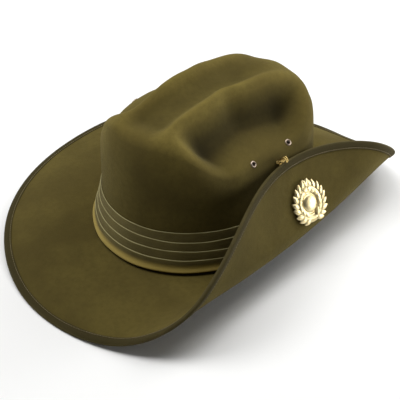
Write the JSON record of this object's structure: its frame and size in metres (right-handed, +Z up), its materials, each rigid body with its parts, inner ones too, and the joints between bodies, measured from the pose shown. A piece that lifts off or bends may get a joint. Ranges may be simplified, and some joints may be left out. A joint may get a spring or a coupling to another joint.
{
  "type": "slouch hat",
  "caption": "Wide-brimmed olive felt slouch hat with a creased crown, pleated cloth band, bound edge, and the left brim hooked up and carrying a leaf-wreath badge.",
  "frame": {"origin": "on the floor under the middle of the outline, seen from above", "axes": "+X to the wearer's left, where the brim is turned up; +Y to the back of the hat; +Z up out of the crown"},
  "size_m": [0.2844, 0.3792, 0.1574],
  "materials": {
    "felt": "matt fur felt, olive khaki",
    "band_cloth": "light olive pleated cotton cloth",
    "binding_cloth": "dark ribbed braid",
    "aged_brass": "aged brass",
    "gilt_metal": "pale gold, satin"
  },
  "bodies": {
    "root": {"felt_body": "felt", "puggaree_band": "band_cloth", "edge_binding": "binding_cloth", "eyelet_left_front": "aged_brass", "eyelet_left_rear": "aged_brass", "eyelet_right_front": "aged_brass", "eyelet_right_rear": "aged_brass", "badge": "gilt_metal", "brim_hook": "aged_brass", "crown_eye": "aged_brass"}
  },
  "joints": []
}
